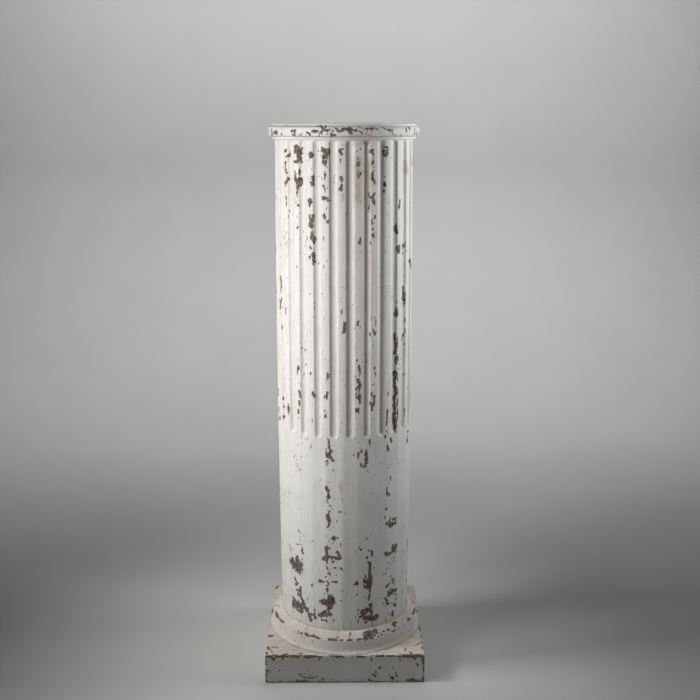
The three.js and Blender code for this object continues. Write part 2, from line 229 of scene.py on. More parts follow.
    (-33.5, 120, -26.5, 120, 4), (-32.3, 116, -31.2, 107, 7), (-27.2, 131, -27, 113, 5),
    (-23, 122, -20.5, 124, 5), (-20, 123, -17, 124, 6), (-17, 134, -16.5, 130, 5), (-17, 127, -14, 128, 12),
    (-14.5, 127, -12.5, 127, 8), (-21, 113, -16, 113, 3), (-13.5, 141, -14, 132, 6),
    (-20.7, 151, -19.5, 148, 4), (-19, 150, -14, 150, 11), (-17, 154, -13, 156, 8),
    (-13.5, 164, -11.8, 166, 7), (-11, 162, -9.8, 161, 6), (-13, 158, -12.5, 146, 9),
    (-14.5, 145, -12, 143, 7), (-11, 157, -9, 156, 3), (-9, 151, -7.6, 149, 3), (-17.6, 169, 3),
    (-15, 180, -15.2, 174, 2.5), (-16, 177, -15, 176, 2), (-9.5, 182, 2.6), (-3.5, 157, 3.2),
    (-4, 180, 2.2), (-10.2, 115, 3), (-22.5, 196, -22, 192, 4), (-21.5, 195, -19, 193, 3.5),
    (-18.8, 193, -18.5, 191, 3.5), (-16.5, 196, -15, 195, 3.5), (-15, 195, -14.2, 190, 4),
    (-16.5, 187, -15, 187, 3.5), (-10.5, 196, -9, 195, 3.2), (-9, 195, -7, 195, 4.5),
    (-29.8, 181, -28.5, 182, 2.5), (-17, 205, -15.7, 204, 2.2), (-13.5, 213, -12.5, 210, 3),
    (-12.3, 209, -11.8, 208, 2.5), (-15.7, 211, 2), (-8, 209, -7, 209, 2.6), (-16.5, 225, -15.3, 224, 2.8),
    (-15, 222, -14.5, 219, 2.2), (-13.5, 222, -12, 223, 1.6), (-10.3, 226, -9.2, 225, 2.8),
    (-9, 224, -7.8, 223, 3), (-4.8, 224, -3.5, 224, 2.8), (-3.2, 223, -2.6, 220, 2.5), (-6, 219, 2),
    (-18.7, 240, -16.5, 239, 5), (-17.5, 242, -14, 245, 7), (-15, 246, -9, 245.5, 5),
    (-14.5, 249, -13, 247, 5), (-10, 245, -6.5, 245, 5), (-7, 244, -4, 244, 7), (-5, 251, -3.8, 246, 5),
    (-6.5, 257, -5, 253, 4), (-17, 262, -15, 262, 4.5), (-15.6, 266, -15.3, 262, 4),
    (-14.5, 262, -13, 263, 4.5), (-15.3, 260, -15, 250, 4), (-10.8, 241, -10, 235, 3.5),
    (-14.8, 240, -14.8, 233, 2.5), (-11, 283, -9, 284, 3.2), (-10, 287, -8.5, 286, 4),
    (-8.5, 282, -8.2, 279, 3.5), (-8.5, 285, -6, 285, 3.5), (-15.6, 289, -15.4, 286, 3.5), (-10, 273, 3),
    (-18, 281, 2.2), (-14, 276, 1.8), (-44, 287, -43, 286, 3), (-41.5, 282, -40, 281, 2.2),
    (-36.6, 281, 2.8), (-43, 273, 2.2), (-45.5, 257, -43.5, 258, 2.8), (-42, 258, -40.5, 259, 3),
    (-39.7, 252, -39, 243, 4), (-40.5, 235, 2.2), (-40, 232, -39.2, 231, 3.2), (11.3, 266, 12, 263, 2.8),
    (12, 262, 14.5, 259, 2.6), (19.3, 281, 3.6), (22.8, 288, 2.2), (21, 256, 23, 255, 2),
    (23.2, 255, 24, 247, 3), (24.3, 245, 3.5), (19, 242, 20, 242, 3.2), (20.6, 232, 22.5, 231, 3.5),
    (21.9, 230, 21.8, 207, 4), (22.3, 202, 22.6, 182, 7.5), (21.5, 204, 21, 190, 5), (16, 199, 18, 197, 4),
    (17.8, 208, 18.2, 200, 3), (17.5, 194, 21, 192, 7), (16.5, 187, 17.2, 183, 4), (18, 180, 20, 179, 4),
    (20.5, 186, 20.3, 181, 3), (22.4, 180, 22, 160, 4), (23, 177, 22.7, 170, 3), (21.3, 158, 21, 156, 3.8),
    (8.2, 190, 9.5, 191, 3.5), (10.5, 194, 11, 190, 4.5), (12.3, 183, 2.8), (17.3, 161, 3.4),
    (10.5, 169, 2), (22.8, 145, 23.3, 139, 4.5), (19.2, 137, 19.2, 129, 5.5), (20.5, 133, 24, 132, 7),
    (23.5, 128, 24.5, 124, 6), (11.5, 137, 2.8), (15.5, 135, 15.3, 125, 4), (14, 132, 15, 131, 3),
    (13, 122, 16, 122, 4), (9.5, 121, 2.5), (11.5, 112, 4), (17, 110, 19, 107, 6),
    (18.5, 117, 28, 114, 9.5), (27, 117, 29.7, 117, 7.5), (16.3, 111, 3), (21, 112, 26, 112, 7),
    (38, 302, 39.5, 301, 3.2), (41.7, 306, 43, 302, 5), (42, 298, 43.5, 294, 4.5),
    (43.5, 299, 50, 298, 3.5), (46, 307, 48, 305, 4), (49, 306, 51, 306, 5), (45.5, 295, 47, 294, 4),
    (50, 296, 51, 295, 3), (42.5, 312, 42.8, 306, 3), (37, 243, 39, 241, 5.5), (38, 237, 39.5, 235, 4),
    (40.5, 240, 43, 239, 4), (42, 237, 44, 237, 4), (47, 250, 50.5, 248, 10), (47, 243, 50, 242, 8),
    (44.5, 240, 46, 239, 3), (50, 237, 52, 237, 3.5), (40.5, 221, 2.6), (44.8, 224, 3.6), (44.3, 216, 2.2),
    (48.5, 227, 2.5), (47.5, 218, 2.2), (40, 209, 41.7, 208, 2.2), (43.5, 191, 44.8, 190, 2.8),
    (38.8, 173, 40.8, 172, 4), (41, 174, 43.5, 176, 2.8), (43.5, 177, 46, 182, 3), (46, 183, 49, 182, 3.2),
    (48, 177, 49, 173, 4), (47, 172, 51, 169, 2.5), (44.5, 171, 2.5), (43, 168, 44, 163, 2.5),
    (43, 156, 46, 156, 9), (46, 157, 52, 156, 6.5), (42.5, 157, 43.5, 150, 5), (44, 165, 46, 163, 3),
    (49, 149, 54, 145, 2.5), (37, 149, 39.5, 148, 2), (40, 145, 41, 141, 3.5), (41, 139, 3.8),
    (40.5, 136, 43, 133, 3), (36, 139, 3), (38, 131, 39, 130, 2.8), (52.5, 137, 4.5), (46, 133, 2),
    (47, 130, 51, 124, 3), (50, 123, 53, 121, 2), (41.8, 113, 3.5), (38.5, 109, 3),
    (47.5, 111, 48.5, 104, 7), (40, 104, 3), (-65.5, 768, -65, 752, 2), (-66, 748, -65, 728, 2),
    (-66.5, 722, -66.3, 710, 2.6), (-66, 700, -65, 692, 2.4), (-65, 680, -65, 673, 1.8),
    (-65.3, 541, -65, 537, 3), (-66, 518, -64, 521, 2.6), (-66, 499, -64, 501, 2),
    (70, 553, 73, 552, 4), (70, 468, 74, 467, 3), (70, 460, 71, 459, 3), (70, 451, 72, 446, 7),
]
CAP_CHIPS = [
    (-62.5, 1032, -58.5, 1032, 5), (-66, 1029, 3), (-59, 1034, -58, 1030, 3.4), (-52, 1029, 3.2),
    (-41, 1034.3, -40, 1034.3, 3.4), (-37.2, 1036, -38, 1030, 2.8), (-40, 1028.3, -38, 1027.5, 2.8),
    (-32, 1031, -31.5, 1029, 3.2), (-34, 1027.5, -32.3, 1027.5, 2.2), (-27.8, 1032.5, -26, 1031.5, 1.6),
    (-25.2, 1030.5, -25, 1028.5, 2.8), (-28, 1028, 1.4), (-22.8, 1034, -21, 1034.5, 4.4),
    (-20.5, 1035.5, -18.5, 1034.5, 3.4), (-20, 1032.5, 1.6), (-19.8, 1042.2, -19.4, 1041.8, 2.2),
    (-17, 1042.5, -16, 1041.5, 2.4), (-13.2, 1043, -13, 1040.5, 2.8), (-15.5, 1039, -14, 1038.5, 1.8),
    (-16, 1033.5, -15.8, 1030.5, 2.2), (-17.5, 1030.5, 1.8), (-17.8, 1026.5, 1.6),
    (-14, 1036, -11, 1036, 2.8), (-11.8, 1034.5, -11.5, 1033.5, 1.8), (-10, 1037, 2.2), (-11.8, 1029, 2.4),
    (-8, 1036, -7.5, 1033, 1.8), (-9, 1030, -9, 1026, 2.4), (-8.5, 1027.5, -6.2, 1028, 2.8),
    (-9, 1025.5, 1.8), (-6, 1039.5, -4, 1035, 2), (-3.8, 1034.5, -1.5, 1034, 3), (-1.5, 1036, -1, 1035, 3),
    (-1.5, 1038, 3, 1038.5, 3), (0, 1037.5, 4, 1037.5, 3.2), (4, 1040.5, 5.5, 1038, 2),
    (3.2, 1036, 6, 1036, 4.6), (4, 1033.5, 5.5, 1032, 5), (5, 1030.5, 2.6), (7, 1036, 8.3, 1034.5, 3.2),
    (9, 1037, 2), (10.5, 1034, 12.2, 1033, 2.8), (12, 1032.5, 13.2, 1030.5, 2.4),
    (11, 1041.5, 11.2, 1040, 1.8), (12.5, 1041, 12.8, 1039, 1.6), (14.5, 1038.5, 17, 1038.5, 2.2),
    (16.5, 1038, 17, 1036.5, 2), (14, 1036.5, 1.8), (16, 1032, 16, 1030, 2),
    (19, 1038.5, 21.5, 1038.5, 2.6), (19.5, 1037.5, 20, 1034.5, 2.4), (22, 1040, 1.6),
    (23.5, 1038, 24.5, 1037, 1.8), (25.8, 1034, 1.8), (23.5, 1030.5, 1.4), (25, 1037.5, 1.4),
    (29, 1041, 30, 1039, 1.8), (30.5, 1039, 31, 1037.5, 1.8), (32, 1036.5, 34, 1036.5, 1.8),
    (34.5, 1036.5, 36.8, 1034, 2.4), (37, 1038.5, 37, 1036, 1.8), (37.3, 1033, 37.3, 1031, 1.8),
    (46.5, 1026.5, 1.8), (51.5, 1031.5, 1.4), (-49.5, 1039, 1.2),
]
RING_CHIPS = [
    (-80, 83, -77, 84.5, 2.4), (-77, 84.7, -71, 84.5, 3.2), (-72, 84, -66, 84, 3), (-66, 84.3, -58, 85, 3),
    (-37, 83.3, -35, 83.2, 2), (-33, 85, -30, 83.5, 2.8), (-29.5, 83.6, -24.5, 84, 2.6),
    (-25.5, 85.5, -25, 84.5, 2), (-24.5, 84, -21, 83.3, 2.4), (-26, 75.5, -26, 73, 2.4),
    (-12.5, 83, -7, 83, 3), (-11, 84, -8, 84, 2), (-4, 82.8, -2, 82.8, 2.4), (-1.5, 83.5, 2),
    (2.5, 83.3, 5.3, 83, 3), (9.8, 83, 10.5, 82.5, 3), (11.5, 83.5, 15, 83.3, 2), (15, 88, 15.5, 83, 3),
    (16, 91, 19, 91.5, 2.6), (19, 91.5, 27.5, 91, 2.8), (16, 83, 22, 82, 3), (18, 85, 23, 86, 5),
    (16.5, 87, 22, 88, 5), (25, 88, 27.5, 88.5, 3), (25, 86, 1.6), (16.5, 80.5, 1.6), (30, 84, 31, 84, 2.4),
    (29.5, 87, 1.6), (32, 87.3, 34, 87.3, 1.4), (36.5, 87.6, 38.5, 87.8, 1.8), (33, 83.2, 1.4),
    (27, 82.5, 1.4), (40, 82.8, 44.5, 83.5, 2), (43.5, 91.5, 50, 92, 2), (44, 90.5, 46, 88.5, 3),
    (54, 87, 1.2), (48, 83, 1.2), (61.5, 83, 63, 84.5, 2.4), (63, 85.5, 66, 85, 2.4),
    (65.5, 84, 66.5, 83, 2.2), (74, 84, 85, 83, 2.8), (80, 83, 85, 82, 3.5), (-38, 93, 1.2),
    (3.5, 88, 5, 91, 1.2), (4.5, 92, 2), (-6, 88, -5, 85, 1),
]
# The same for the plinth in millimetres: its front face by (across, height) and its top by (across, depth)
PLINTH_FRONT_CHIPS = [
    (-150, 55, -137, 56, 3), (-140, 53, -136, 48, 4.5), (-133, 53, 3), (-130, 55, -108, 55, 3),
    (-119, 52, -118, 48, 3), (-103, 54, -90, 55, 3), (-92, 54, -88, 52.5, 4), (-76, 53.5, -68, 52.5, 4),
    (-66, 55, -45, 54, 3), (-49, 51, -48, 46, 2), (-30, 56, -22, 55, 1.6), (-17, 54, -2, 53.5, 3.4),
    (15, 55, 16, 52, 1.6), (24, 54, 40, 53.5, 3.4), (50, 52, 51, 46, 3), (60, 55, 75, 55, 2.4),
    (80, 55, 98, 55, 2), (100, 54, 118, 55, 3), (112, 54, 135, 54, 5), (128, 52, 134, 48, 3),
    (105, 50, 106, 46, 2), (138, 55, 150, 54, 3), (148, 52, 150, 40, 5), (139, 38, 139, 35, 3),
    (151, 33, 151, 22, 3), (150, 10, 151, 2, 4), (-151, 47, -150, 38, 3), (-146, 26, -144, 22, 2.6),
    (-150, 26, -151, 12, 3), (-125, 26, 2.4), (-152, 8, -150, 2, 3), (-88, 19, -85, 16, 2.6),
    (-85, 15, -78, 11, 2.4), (-78, 11, -65, 9.5, 2.4), (-65, 10, -60, 11, 2), (-78, 20, -77, 17, 2.2),
    (-67, 17, -66, 15, 2.4), (-55, 13.5, -53, 12, 3), (-44, 9.5, -42, 8, 3.4), (-23, 8.5, 2.8), (3, 8, 2),
    (67, 30.5, 4.6), (59, 24, 59.5, 22, 3), (53, 19, 54, 16, 2), (58, 16, 58, 12, 3.4), (98, 20, 99, 12, 2),
    (90, 10, 92, 7, 5), (100, 15, 1.6), (130, 18, 2.4), (130, 8, 134, 4, 4), (-152, 0.5, 152, 0.5, 2),
    (-92, 5, -90, 3, 3), (-85, 3, -70, 2, 3.4), (-50, 3, -45, 2, 2), (46, 6, 50, 2, 3.4),
    (-125, 2.5, -120, 1.5, 3), (120, 4, 150, 2, 4), (10, 2, 14, 1, 2),
]
PLINTH_TOP_CHIPS = [
    (-150, -75, -146, -75, 8), (-150, -118, -148, -128, 4), (-140, -119, -130, -122, 5),
    (-147, -126, -143, -128, 5), (-151, -140, -149, -148, 3.4), (-141, -135, -139, -138, 2),
    (-137, -146, -134, -150, 4), (-130, -148, -128, -151, 3.5), (-119, -149, -110, -147, 4),
    (-112, -145, 2), (-86, -145, -83, -145, 5), (-110, -151, -60, -152, 2), (117, -127, 117, -133, 3),
    (115, -136, 2.5), (140, -112, 146, -106, 4), (146, -106, 150, -103, 4), (137, -116, 3),
    (150, -85, 150, -75, 3), (149, -120, 150, -130, 2.5), (126, -142, 127, -150, 5),
    (105, -149, 108, -151, 3.5), (113, -150, 145, -151, 5), (142, -148, 143, -150, 3),
    (151, -55, 150, -40, 3), (150, 20, 150, 32, 3), (-150, 20, -151, 40, 3.5), (-150, 140, -146, 150, 5),
]

# Brown stains on shaft and cap, as strokes like the chips
SHAFT_STAINS = [
    (11, 985, 11, 915, 11), (-1, 915, -0.5, 925, 5), (20.6, 985, 20.8, 895, 4), (62, 975, 63, 962, 12),
    (-3, 395, -3, 375, 5), (8, 1012, 20, 1014, 5),
]
CAP_STAINS = [
    (5, 1026, 13, 1026, 5), (-2, 1024, 20, 1024, 3), (-40, 1024, 34, 1024, 2.2), (-66, 1031, -58, 1031, 7),
    (15, 1029, 20, 1028, 3),
]


def rate(low, high, value):
    """Share of the way from low to high, held between 0 and 1 and eased at both ends."""
    share = np.clip((value - low) / (high - low), 0, 1)
    return share * share * (3 - 2 * share)


def ring_of(angle, radius, height):
    """Points at an angle in degrees, radius and height: x = radius sin, y = -radius cos, z = height."""
    turn = np.radians(angle)
    return np.stack(np.broadcast_arrays(radius * np.sin(turn), -radius * np.cos(turn), height), -1)


def waves(seed, angle, along=0.0, count=7):
    """Soft unevenness from -1 to 1: a mean of sines with seeded whole wave numbers round the column and free
    ones along it."""
    rng = np.random.default_rng(seed)
    total = 0.0
    for _ in range(count):
        around = rng.integers(1, 24) * np.radians(angle)
        total = total + np.sin(around + rng.uniform(0.5, 9.0) * along + rng.uniform(0, 2 * np.pi))
    return total / count


def worn_at(strokes, across, up, scale_across=1.0, wider=0.0):
    """Wear of a grid from a list of strokes: 1 along a stroke's middle line, falling evenly to 0 at the
    stroke's width plus `wider` away. The distance is to the nearest point of the line from end to end."""
    wear = np.zeros(np.broadcast(across, up).shape)
    for stroke in strokes:
        right, rise = (stroke[-3] - stroke[0]) * scale_across, stroke[-2] - stroke[1]
        x, y = (across - stroke[0]) * scale_across, up - stroke[1]
        share = np.clip((x * right + y * rise) / max(right * right + rise * rise, 1e-9), 0, 1)
        distance = np.hypot(x - share * right, y - share * rise)
        wear = np.maximum(wear, np.clip(1 - distance / (stroke[-1] + wider), 0, 1))
    return wear


def closed_mesh(name, points, fields, sharp_degrees=38):
    """One closed skin from rings of points that run from the foot to the top: rings are joined by quads, and
    each end is closed by triangles to a pole at its middle."""
    rows, columns, _ = points.shape
    vertices = np.concatenate([points.reshape(-1, 3), points[0].mean(0)[None], points[-1].mean(0)[None]])
    here = np.arange(rows * columns).reshape(rows, columns)
    right = np.roll(here, -1, axis=1)
    quads = np.stack([here[:-1], right[:-1], right[1:], here[1:]], -1).reshape(-1, 4)
    low_pole = np.full(columns, rows * columns)
    fans = np.concatenate([
        np.stack([right[0], here[0], low_pole], -1),
        np.stack([here[-1], right[-1], low_pole + 1], -1),
    ])
    mesh = bpy.data.meshes.new(name)
    mesh.vertices.add(len(vertices))
    mesh.vertices.foreach_set("co", vertices.astype(np.float32).ravel())
    corners = np.concatenate([quads.ravel(), fans.ravel()])
    sizes = np.concatenate([np.full(len(quads), 4), np.full(len(fans), 3)])
    mesh.loops.add(len(corners))
    mesh.loops.foreach_set("vertex_index", corners.astype(np.int32))
    mesh.polygons.add(len(sizes))
    mesh.polygons.foreach_set("loop_start", (np.cumsum(sizes) - sizes).astype(np.int32))
    mesh.update(calc_edges=True)
    mesh.validate()
    mesh.shade_smooth()
    mesh.set_sharp_from_angle(angle=math.radians(sharp_degrees))
    for field, values in fields.items():
        grid = np.broadcast_to(values, (rows, columns))
        flat = np.concatenate([grid.ravel(), [grid[0].mean(), grid[-1].mean()]])
        mesh.attributes.new(field, "FLOAT", "POINT").data.foreach_set("value", flat.astype(np.float32))
    return mesh


def superellipse(centre, half_width, half_height, fullness, start, end, steps):
    """Arc of a superellipse from angle start to end, in degrees: radius and height follow the cosine and the
    sine raised to 2 / fullness."""
    turn = np.radians(np.linspace(start, end, steps))
    across = np.sign(np.cos(turn)) * np.abs(np.cos(turn)) ** (2 / fullness)
    up = np.sign(np.sin(turn)) * np.abs(np.sin(turn)) ** (2 / fullness)
    return np.stack([centre[0] + half_width * across, centre[1] + half_height * up], -1)


def run(start, end, steps):
    """Evenly spaced (radius, height) points of a straight run, without its last point."""
    return np.linspace(start, end, steps, endpoint=False)


def shaft_radius(height):
    """Radius to the arrises: the parabola through the foot, belly and neck radii."""
    t = (height - SHAFT_LOW.z) / (SHAFT_HIGH.z - SHAFT_LOW.z)
    return (
        SHAFT_FOOT_RADIUS * (1 - t) * (1 - 2 * t)
        + SHAFT_BELLY_RADIUS * 4 * t * (1 - t)
        + SHAFT_NECK_RADIUS * t * (2 * t - 1)
    )


def shaft_surface(arris_ease):
    """Shaft of flat staves: each ring is the polygon of the stave planes with slightly eased arrises, and
    each stave is hollowed by a round rod whose depth is sqrt(R^2 - across^2 - past_end^2) less the rod's
    stand-off, softened where it meets the face. Returns the points and, for each, its angle, its height,
    and how near it is to a flute's lip, a flute's hollow and an arris."""
    low, high = SHAFT_LOW.z, SHAFT_HIGH.z
    flute_high = high - FLUTE_HEAD_MARGIN
    # rings lie closest where the chips are smallest and at the flutes' lower ends
    heights = np.concatenate([
        [low, low + 0.7 * MM],
        np.linspace(low + 3.4 * MM, 0.312, 74),
        np.linspace(0.316, 0.4665, 36),
        np.linspace(0.4695, 0.4915, 12),
        np.linspace(0.495, 0.660, 32),
        np.linspace(0.6665, 0.7985, 18),
        np.linspace(0.8045, 1.001, 40),
        np.linspace(1.0035, high - 1.2 * MM, 10),
        [high - 0.4 * MM, high],
    ])[:, None]
    pitch = 360 / STAVE_COUNT
    half = SHAFT_BELLY_RADIUS * math.tan(math.radians(pitch / 2))
    # points across half a stave, closest at the flute's lip
    stations = np.array([0, 2.6, 4.8, 6.4, 7.2, 7.8, 9.6, 12.2]) * MM / half
    stations = np.concatenate([-stations[:0:-1], stations, [1.0]])
    centres = FIRST_ARRIS + (np.arange(STAVE_COUNT) + 0.5) * pitch
    centre = np.repeat(centres, len(stations))[None]
    share = np.tile(stations, STAVE_COUNT)[None]
    apothem = shaft_radius(heights) * math.cos(math.radians(pitch / 2))
    across = share * apothem * math.tan(math.radians(pitch / 2))
    rod = (FLUTE_WIDTH**2 / 4 + FLUTE_DEPTH**2) / (2 * FLUTE_DEPTH)
    stand_off = rod - FLUTE_DEPTH
    axis_low = FLUTE_LOW + FLUTE_WIDTH / 2
    axis_high = flute_high - FLUTE_HEAD
    past_head = (heights - axis_high) * FLUTE_WIDTH / 2 / FLUTE_HEAD
    past = np.maximum(np.maximum(axis_low - heights, past_head), 0)
    depth = np.sqrt(np.maximum(rod**2 - across**2 - past**2, 0)) - stand_off
    soft = 0.35 * MM
    depth = (depth + np.sqrt(depth**2 + soft**2)) / 2
    from_arris = apothem * math.tan(math.radians(pitch / 2)) - np.abs(across)
    depth = depth + arris_ease * np.exp(-((from_arris / (1.6 * MM)) ** 2))
    angle = centre + np.degrees(np.arctan2(across, apothem))
    depth = depth + 0.12 * MM * (1 + waves(4, angle, heights * 9))
    turn = np.radians(centre)
    inner = apothem - depth
    x = inner * np.sin(turn) + across * np.cos(turn)
    y = -inner * np.cos(turn) + across * np.sin(turn)
    points = np.stack(np.broadcast_arrays(x, y, heights), -1)
    fluted = rate(0.474, 0.482, heights) * rate(flute_high + 1 * MM, flute_high - 3 * MM, heights)
    hollow = rate(FLUTE_WIDTH / 2 + 0.5 * MM, FLUTE_WIDTH / 2 - 1.5 * MM, np.abs(across)) * fluted
    lip = np.exp(-(((np.abs(across) - FLUTE_WIDTH / 2) / (0.9 * MM)) ** 2)) * fluted
    arris = np.exp(-((from_arris / (3.0 * MM)) ** 2))
    return points, angle, heights, lip, hollow, arris


def back_chips(seed, count, low, high):
    """Seeded upright strokes for the side that isn't seen from the front, near the arrises, each a line with
    a slight lean and wider near the foot."""
    rng = np.random.default_rng(seed)
    pitch = 360 / STAVE_COUNT
    chips = []
    for _ in range(count):
        arris = FIRST_ARRIS + pitch * rng.integers(0, STAVE_COUNT) + rng.normal(0, 2.0)
        angle = (arris + 180) % 360 - 180
        height = low + (high - low) * rng.random() ** 1.2
        grow = 1.0 + 0.8 * rate(330, 100, height)
        width, tall, lean = rng.uniform(2.5, 6) * grow, rng.uniform(0, 16), rng.normal(0, 0.8)
        if abs(angle) > 72:
            chips.append((angle, height, angle + lean, height + tall, width))
    return chips


def node(tree, kind, inputs=None, **settings):
    """Adds a shader node, sets its options, and sets or links its inputs, given by name or number."""
    made = tree.nodes.new(kind)
    for key, value in settings.items():
        setattr(made, key, value)
    for key, value in (inputs or {}).items():
        socket = made.inputs[key]
        if isinstance(value, bpy.types.NodeSocket):
            tree.links.new(value, socket)
        else:
            socket.default_value = value
    return made


def maths(tree, operation, *values, clamp=False):
    """One Math node's output."""
    made = node(tree, "ShaderNodeMath", dict(enumerate(values)), operation=operation, use_clamp=clamp)
    return made.outputs[0]


def blend_colour(tree, factor, a, b):
    """One colour Mix node's output."""
    return node(tree, "ShaderNodeMix", {0: factor, 6: a, 7: b}, data_type="RGBA").outputs[2]


def noise(tree, vector, scale, detail=2.0, roughness=0.55):
    """One Noise node's grey output."""
    inputs = {"Vector": vector, "Scale": scale, "Detail": detail, "Roughness": roughness}
    return node(tree, "ShaderNodeTexNoise", inputs).outputs[0]


def ramp(tree, value, low, high, to_low=0.0, to_high=1.0):
    """A Map Range node's output, eased between low and high."""
    inputs = {0: value, 1: low, 2: high, 3: to_low, 4: to_high}
    return node(tree, "ShaderNodeMapRange", inputs, interpolation_type="SMOOTHSTEP").outputs[0]


def aged_paint(name, look, grain_axis="Z", speckle=0.0):
    """Worn white paint over a dark ground. Chips open where the wear value plus fine noise passes a half.
    The paint has mottling, brush streaks along the grain, dust on upward faces, soiled lines and grey
    painted shade where the piece's painted_shade value asks for it; the ground has a painted shadow in a rim
    just inside each chip, and the paint's edge stands proud in the bump."""
    material = bpy.data.materials.new(name)
    material.use_nodes = True
    tree = material.node_tree
    tree.nodes.clear()
    place = node(tree, "ShaderNodeTexCoord").outputs["Object"]
    long = (1.0, 1.0, 0.45) if grain_axis == "Z" else (0.45, 1.0, 1.0)
    streaky = (1.0, 1.0, 0.05) if grain_axis == "Z" else (0.05, 1.0, 1.0)
    torn = node(tree, "ShaderNodeMapping", {"Vector": place, "Scale": long}).outputs[0]
    brushed = node(tree, "ShaderNodeMapping", {"Vector": place, "Scale": streaky}).outputs[0]
    wear = node(tree, "ShaderNodeAttribute", attribute_name="wear").outputs["Fac"]
    dust = node(tree, "ShaderNodeAttribute", attribute_name="dust").outputs["Fac"]
    grime = node(tree, "ShaderNodeAttribute", attribute_name="grime").outputs["Fac"]
    painted_shade = node(tree, "ShaderNodeAttribute", attribute_name="painted_shade").outputs["Fac"]

    flakes = noise(tree, torn, 150, 2, 0.5)
    ragged = maths(tree, "MULTIPLY_ADD", flakes, look.raggedness, -0.5 * look.raggedness)
    crumbs = maths(tree, "MULTIPLY_ADD", noise(tree, torn, 420, 2, 0.5), 1.1, -0.55)
    field = maths(tree, "ADD", maths(tree, "ADD", wear, ragged), crumbs)
    chip = ramp(tree, field, 0.48, 0.52)
    patch = maths(tree, "MULTIPLY_ADD", noise(tree, place, 16, 2), 0.45, -0.225 + speckle)
    speck = ramp(tree, maths(tree, "ADD", noise(tree, torn, 330, 1.5), patch), 0.735, 0.765)
    bare = maths(tree, "MAXIMUM", chip, speck)

    mottle = ramp(tree, noise(tree, place, 22, 4, 0.6), 0.3, 0.7)
    streak = noise(tree, brushed, 420, 3, 0.6)
    paint = blend_colour(tree, mottle, (*look.paint_shade, 1), (*look.paint, 1))
    paint = blend_colour(tree, ramp(tree, streak, 0.3, 0.75), paint, (*look.paint_light, 1))
    dirt = maths(tree, "MULTIPLY_ADD", noise(tree, place, 95, 4, 0.65), 1.1, -0.25)
    dusty = maths(tree, "MULTIPLY", dust, ramp(tree, dirt, 0.0, 0.6, to_low=0.35, to_high=1.0), clamp=True)
    paint = blend_colour(tree, dusty, paint, (*look.dust, 1))
    halo = maths(tree, "MULTIPLY", ramp(tree, field, 0.36, 0.47), 0.22)
    lines = maths(tree, "MULTIPLY", grime, ramp(tree, dirt, 0.05, 0.45, to_low=0.4))
    soiled = maths(tree, "MAXIMUM", halo, lines)
    paint = blend_colour(tree, soiled, paint, (*look.grime, 1))
    # painted shade: grey laid where the piece's painted_shade value is set, for faces that get less light
    paint = blend_colour(tree, painted_shade, paint, (*look.painted_shade, 1))
    ground = blend_colour(
        tree, ramp(tree, noise(tree, torn, 300, 3), 0.35, 0.65), (*look.ground, 1), (*look.ground_light, 1)
    )
    rim = maths(tree, "MULTIPLY", ramp(tree, field, 0.5, 0.66, to_low=1.0, to_high=0.0), 0.55)
    ground = blend_colour(tree, rim, ground, (*look.shadow, 1))
    colour = blend_colour(tree, bare, paint, ground)

    rough = maths(tree, "MULTIPLY_ADD", bare, 0.28, 0.52)
    rough = maths(tree, "ADD", rough, maths(tree, "MULTIPLY", dusty, 0.2))
    rough = maths(tree, "MULTIPLY_ADD", mottle, 0.08, rough, clamp=True)
    relief = maths(tree, "MULTIPLY", bare, -1.0)
    relief = maths(tree, "MULTIPLY_ADD", streak, 0.16, relief)
    relief = maths(tree, "MULTIPLY_ADD", noise(tree, place, 120, 3), 0.35, relief)
    relief = maths(tree, "MULTIPLY_ADD", noise(tree, place, 1500, 2), 0.1, relief)
    raised = {"Height": relief, "Strength": 1.0, "Distance": look.paint_thickness}
    bump = node(tree, "ShaderNodeBump", raised)
    surface = node(
        tree, "ShaderNodeBsdfPrincipled",
        {"Base Color": colour, "Roughness": rough, "Normal": bump.outputs[0], "Specular IOR Level": 0.35},
    )
    node(tree, "ShaderNodeOutputMaterial", {"Surface": surface.outputs[0]})
    return material


def plain_surface(name, colour, roughness):
    """Matt paint for the studio, with a trace of mottling and grain."""
    material = bpy.data.materials.new(name)
    material.use_nodes = True
    tree = material.node_tree
    tree.nodes.clear()
    place = node(tree, "ShaderNodeTexCoord").outputs["Object"]
    mottle = ramp(tree, noise(tree, place, 3, 3), 0.3, 0.7)
    darker = tuple(0.96 * c for c in colour)
    tint = blend_colour(tree, mottle, (*darker, 1), (*colour, 1))
    raised = {"Height": noise(tree, place, 200, 2), "Strength": 0.2, "Distance": 0.0005}
    bump = node(tree, "ShaderNodeBump", raised)
    rough = maths(tree, "MULTIPLY_ADD", mottle, 0.06, roughness)
    inputs = {"Base Color": tint, "Roughness": rough, "Normal": bump.outputs[0]}
    surface = node(tree, "ShaderNodeBsdfPrincipled", inputs)
    node(tree, "ShaderNodeOutputMaterial", {"Surface": surface.outputs[0]})
    return material


def place_piece(name, mesh, material, cad_node):
    """Links a finished piece, gives it its paint, hangs it under the root body and hides the CAD node that
    it stands for.
    """
    piece = bpy.data.objects.new(name, mesh)
    bpy.context.scene.collection.objects.link(piece)
    mesh.materials.append(material)
    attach(piece, "root")
    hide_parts(cad_node)
    return piece


def colour_property(label, text, default):
    return bpy.props.FloatVectorProperty(
        name=label, description=text, default=default, subtype="COLOR", size=3, min=0.0, max=1.0
    )


def power_property(label, text, default):
    return bpy.props.FloatProperty(name=label, description=text, default=default, min=0.0, unit="POWER")


def length_property(label, text, default):
    return bpy.props.FloatProperty(name=label, description=text, default=default, unit="LENGTH", precision=4)


